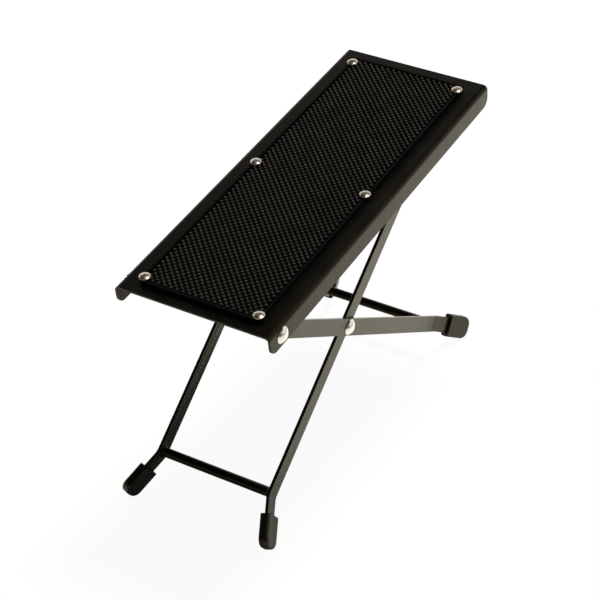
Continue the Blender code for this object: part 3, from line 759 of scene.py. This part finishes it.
# %% Cap rubber
cap_rubber, shader, where = finish(
    "moulded_cap_rubber", IOR=1.5, Specular_Tint=(1.0, 0.9, 0.66, 1.0)
)
grain = add(cap_rubber, "TexNoise", Vector=(where, "Object"), Scale=3000.0, Detail=2.0)
cloud = add(cap_rubber, "TexNoise", Vector=(where, "Object"), Scale=60.0, Detail=4.0)
tone = add(cap_rubber, "ValToRGB", Fac=(cloud, "Fac"))
low, high = tone.color_ramp.elements
low.position, low.color = 0.3, colour("0a0a09")
high.position, high.color = 0.7, colour("11110f")
gloss = add(cap_rubber, "MapRange", Value=(cloud, "Fac"), To_Min=0.35, To_Max=0.47)
bump = add(cap_rubber, "Bump", Height=(grain, "Fac"), Strength=0.3, Distance=0.00005)
feed(cap_rubber, shader, Base_Color=(tone, "Color"), Roughness=(gloss, "Result"),
     Normal=(bump, "Normal"))
coat(caps, cap_rubber)

# %% [markdown]
# ## Mat rubber
#
# Shoes polish the tops of the pimples and leave a little dust on them. Their lighter colour
# is partly that dust and partly a painted highlight, the tops' shine put into the colour.
# The field between them is painted near black, as painted shade in the gaps, and the smooth
# border stays deep black. The mat leans with the deck, so a Mapping node takes the object's
# coordinates back to the workbench. There the height above the field says how much of the
# lighter colour, dust and painted highlight, to mix in, and the border is masked out,
# because it is as high as the pimples. Dull rubber with dust on it mirrors hardly anything,
# so its IOR is set far below that of clean rubber.

# %% Mat rubber
WEAR_AND_HIGHLIGHT_FROM, WEAR_AND_HIGHLIGHT_TO = 0.2, 1.3  # millimetres above the field

mat_rubber, shader, where = finish(
    "moulded_mat_rubber", IOR=1.2, Specular_Tint=(1.0, 0.93, 0.78, 1.0)
)
level = add(mat_rubber, "Mapping", {"vector_type": "TEXTURE"}, Vector=(where, "Object"),
            Location=pivots["deck_fold"], Rotation=(DECK_SLOPE, 0, 0))
above = add(mat_rubber, "SeparateXYZ", Vector=(level, "Vector"))
# The height above the field is the mask for the lighter tops, partly dust and partly a painted
# highlight.
wear_and_highlight = add(mat_rubber, "MapRange", Value=(above, "Z"),
           From_Min=(field_floor + WEAR_AND_HIGHLIGHT_FROM) * MM, From_Max=(field_floor + WEAR_AND_HIGHLIGHT_TO) * MM)
from_middle = add(mat_rubber, "VectorMath", {"operation": "SUBTRACT"},
                  Vector=(level, "Vector"), Vector_001=(0, mat_middle * MM, 0))
distance = add(mat_rubber, "VectorMath", {"operation": "ABSOLUTE"}, Vector=(from_middle, "Vector"))
apart = add(mat_rubber, "SeparateXYZ", Vector=(distance, "Vector"))
for axis, size in (("X", MAT_WIDTH), ("Y", MAT_LENGTH)):
    inside = add(mat_rubber, "Math", {"operation": "LESS_THAN"},
                 Value=(apart, axis), Value_001=(size / 2 - MAT_BORDER) * MM)
    wear_and_highlight = add(mat_rubber, "Math", {"operation": "MULTIPLY"},
               Value=(wear_and_highlight, 0), Value_001=(inside, "Value"))

grain = add(mat_rubber, "TexNoise", Vector=(where, "Object"), Scale=3000.0, Detail=2.0)
cloud = add(mat_rubber, "TexNoise", Vector=(where, "Object"), Scale=90.0, Detail=4.0)
dust_and_highlight = add(mat_rubber, "ValToRGB", Fac=(cloud, "Fac"))
low, high = dust_and_highlight.color_ramp.elements
low.position, low.color = 0.3, colour("23211c")
high.position, high.color = 0.7, colour("34312b")
# Tops get the lighter colour, dust and painted highlight; the near-black 010101 is painted shade
# between the pimples.
tone = add(mat_rubber, "Mix", {"data_type": "RGBA"}, Factor=(wear_and_highlight, "Value"),
           A=colour("010101"), B=(dust_and_highlight, "Color"))
gloss = add(mat_rubber, "MapRange", Value=(cloud, "Fac"), To_Min=0.38, To_Max=0.5)
bump = add(mat_rubber, "Bump", Height=(grain, "Fac"), Strength=0.4, Distance=0.00005)
feed(mat_rubber, shader, Base_Color=(tone, "Result"), Roughness=(gloss, "Result"),
     Normal=(bump, "Normal"))
coat([mat], mat_rubber)

# %% [markdown]
# ## Bright nickel and zinc
#
# The rivets are nickel plated: a white metal with a clear shine, broken only by fine
# marks, under a millimetre, from the barrel they were plated in. The screws are brass
# with a thin coat of nickel, warmer and more satin. The spacers are zinc plated, greyer
# and duller. A metal's colour is its reflection, so the base colour is light and the
# noise goes into the roughness and a faint bump.

# %% Bright nickel and zinc
def plated(name, tone, roughness, marks):
    """A plated metal with fine marks in its shine."""
    metal, shader, where = finish(name, Base_Color=colour(tone), Metallic=1.0)
    fine = add(metal, "TexNoise", Vector=(where, "Object"), Scale=1200.0, Detail=4.0)
    gloss = add(metal, "MapRange", Value=(fine, "Fac"),
                To_Min=roughness * 0.75, To_Max=roughness * 1.35)
    bump = add(metal, "Bump", Height=(fine, "Fac"), Strength=marks, Distance=0.00003)
    feed(metal, shader, Roughness=(gloss, "Result"), Normal=(bump, "Normal"))
    return metal


spacers = [frame["nodes"][f"deck_spacer_{side}"] for side in SIDES]
coat(rivet_pieces, plated("nickel_plate", "ece8e0", 0.12, 0.03))
coat(screw_pieces, plated("warm_nickel_plate", "faeed6", 0.3, 0.05))
coat(spacers, plated("zinc_plate", "b4b4b0", 0.36, 0.25))

# %% [markdown]
# ## Floor and room
#
# The footrest stands on a sheet of white paper in front of a lit white wall, as in a
# catalogue. The painted sides and the bright metal show what they mirror: the paper, the
# wall behind, which ends a third of the way up, and above and in front of it a dark room,
# which keeps the top of the deck black. The camera itself sees plain white behind the
# object. That comes from the Light Path node, which tells a ray of the camera from one
# that a surface mirrors, and not from more light. To the camera most of the paper's white
# is its own glow, and the share that the lamps light keeps the object's shadow.

# %% Floor
SEEN_WHITE, MIRRORED_WHITE = 0.95, 0.05  # shares of plain white in the paper

deselect()
bpy.ops.mesh.primitive_plane_add(size=14)
floor = bpy.context.object
floor.name = "studio_floor"
paper, sheet = finish("white_paper", Base_Color=colour("f4f0e4"), Roughness=0.9)[:2]
path = add(paper, "LightPath")
seen = add(paper, "Math", {"operation": "MAXIMUM"},
           Value=(path, "Is Camera Ray"), Value_001=(path, "Is Transmission Ray"))
mirrored = add(paper, "Math", {"operation": "MULTIPLY"},
               Value=(path, "Is Glossy Ray"), Value_001=MIRRORED_WHITE)
share = add(paper, "Math", {"operation": "MULTIPLY_ADD"},
            Value=(seen, "Value"), Value_001=SEEN_WHITE, Value_002=(mirrored, "Value"))
glow = add(paper, "Emission", Color=(1, 1, 1, 1), Strength=1.0)
blend = add(paper, "MixShader", Fac=(share, "Value"),
            Shader=(sheet, "BSDF"), Shader_001=(glow, "Emission"))
feed(paper, paper.node_tree.nodes["Material Output"], Surface=(blend, "Shader"))
coat([floor], paper)

# %% Room
WALL, WALL_TOP = (0.9, 0.9, 0.9, 1), 0.43  # heights as the sine of the angle above level
CEILING, CEILING_EDGE = (0.05, 0.05, 0.05, 1), 0.57
FRONT_SHARE = 0.12  # how bright the room is in front of the object, behind it being 1
FILL_SHARE = 0.3  # how bright it is as light, as a mirrored picture being 1

world = bpy.data.worlds.new("white_room")
bpy.context.scene.world = world
world.use_nodes = True
where = add(world, "TexCoord")
toward = add(world, "SeparateXYZ", Vector=(where, "Generated"))
walls = add(world, "ValToRGB", Fac=(toward, "Z"))
low, high = walls.color_ramp.elements
low.position, low.color = WALL_TOP, WALL
high.position, high.color = CEILING_EDGE, CEILING
behind = add(world, "MapRange", Value=(toward, "Y"),
             From_Min=-0.3, From_Max=0.4, To_Min=FRONT_SHARE, To_Max=1.0)
path = add(world, "LightPath")
dimmed = add(world, "MapRange", Value=(path, "Is Glossy Ray"), To_Min=FILL_SHARE)
power = add(world, "Math", {"operation": "MULTIPLY"},
            Value=(behind, "Result"), Value_001=(dimmed, "Result"))
room = world.node_tree.nodes["Background"]
feed(world, room, Color=(walls, "Color"), Strength=(power, "Value"))
white = add(world, "Background", Color=(1, 1, 1, 1))
seen = add(world, "Math", {"operation": "MAXIMUM"},
           Value=(path, "Is Camera Ray"), Value_001=(path, "Is Transmission Ray"))
view = add(world, "MixShader", Fac=(seen, "Value"),
           Shader=(room, "Background"), Shader_001=(white, "Background"))
feed(world, world.node_tree.nodes["World Output"], Surface=(view, "Shader"))
print("the room has", len(world.node_tree.nodes), "nodes")

# %% [markdown]
# ## Lamps
#
# A photographer hangs one large soft box over and behind the object, and it gives nearly
# all the light. In the glossy paint its picture would be a hard white patch, which the
# photograph doesn't show, so surfaces don't mirror it. A second box does the opposite: it
# lights nothing, and is only there to be mirrored, as the bright spot low on the right of
# each screw.

# %% Lamps
AIM = Vector((0, 0, 0.1))


def lamp(name, size, power, place):
    """A round soft box, size metres wide and power watts strong, turned to the object."""
    light = bpy.data.lights.new(name, "AREA")
    light.shape, light.size, light.energy = "DISK", size, power
    holder = bpy.data.objects.new(name, light)
    bpy.context.scene.collection.objects.link(holder)
    holder.location = place
    beam = AIM - Vector(place)
    holder.rotation_euler = beam.to_track_quat("-Z", "Y").to_euler()
    print(name, "is", round(beam.length, 2), "m away")
    return holder


overhead = lamp("overhead_light_box", 0.5, 58, (0.0, 0.75, 1.85))
overhead.visible_glossy = False
sparkle = lamp("highlight_light_box", 0.6, 14, (0.75, 0.1, 1.8))
sparkle.visible_diffuse = False

# %% [markdown]
# ## Camera
#
# The corners, screws and rivets in the photograph give the camera's place, turn and lens.
# The object isn't in the middle of the picture, so the lens is shifted a little, which
# keeps the perspective, where turning the camera would change it.

# %% Camera
camera = bpy.data.objects.new("camera", bpy.data.cameras.new("camera"))
bpy.context.scene.collection.objects.link(camera)
camera.location = (0.54644, -0.90052, 0.8353)
camera.rotation_euler = [math.radians(turn) for turn in (54.5651, -0.1141, 29.5796)]
camera.data.sensor_width, camera.data.lens = 36, 106.685
camera.data.shift_x, camera.data.shift_y = -0.09017, 0.0179
bpy.context.scene.camera = camera
bpy.context.scene.view_settings.view_transform = "Standard"
print("camera", round(camera.location.length, 2), "m from the middle of the floor")

# %% [markdown]
# ## Finish
#
# The last cell hands the scene over.

# %% Finish
import json
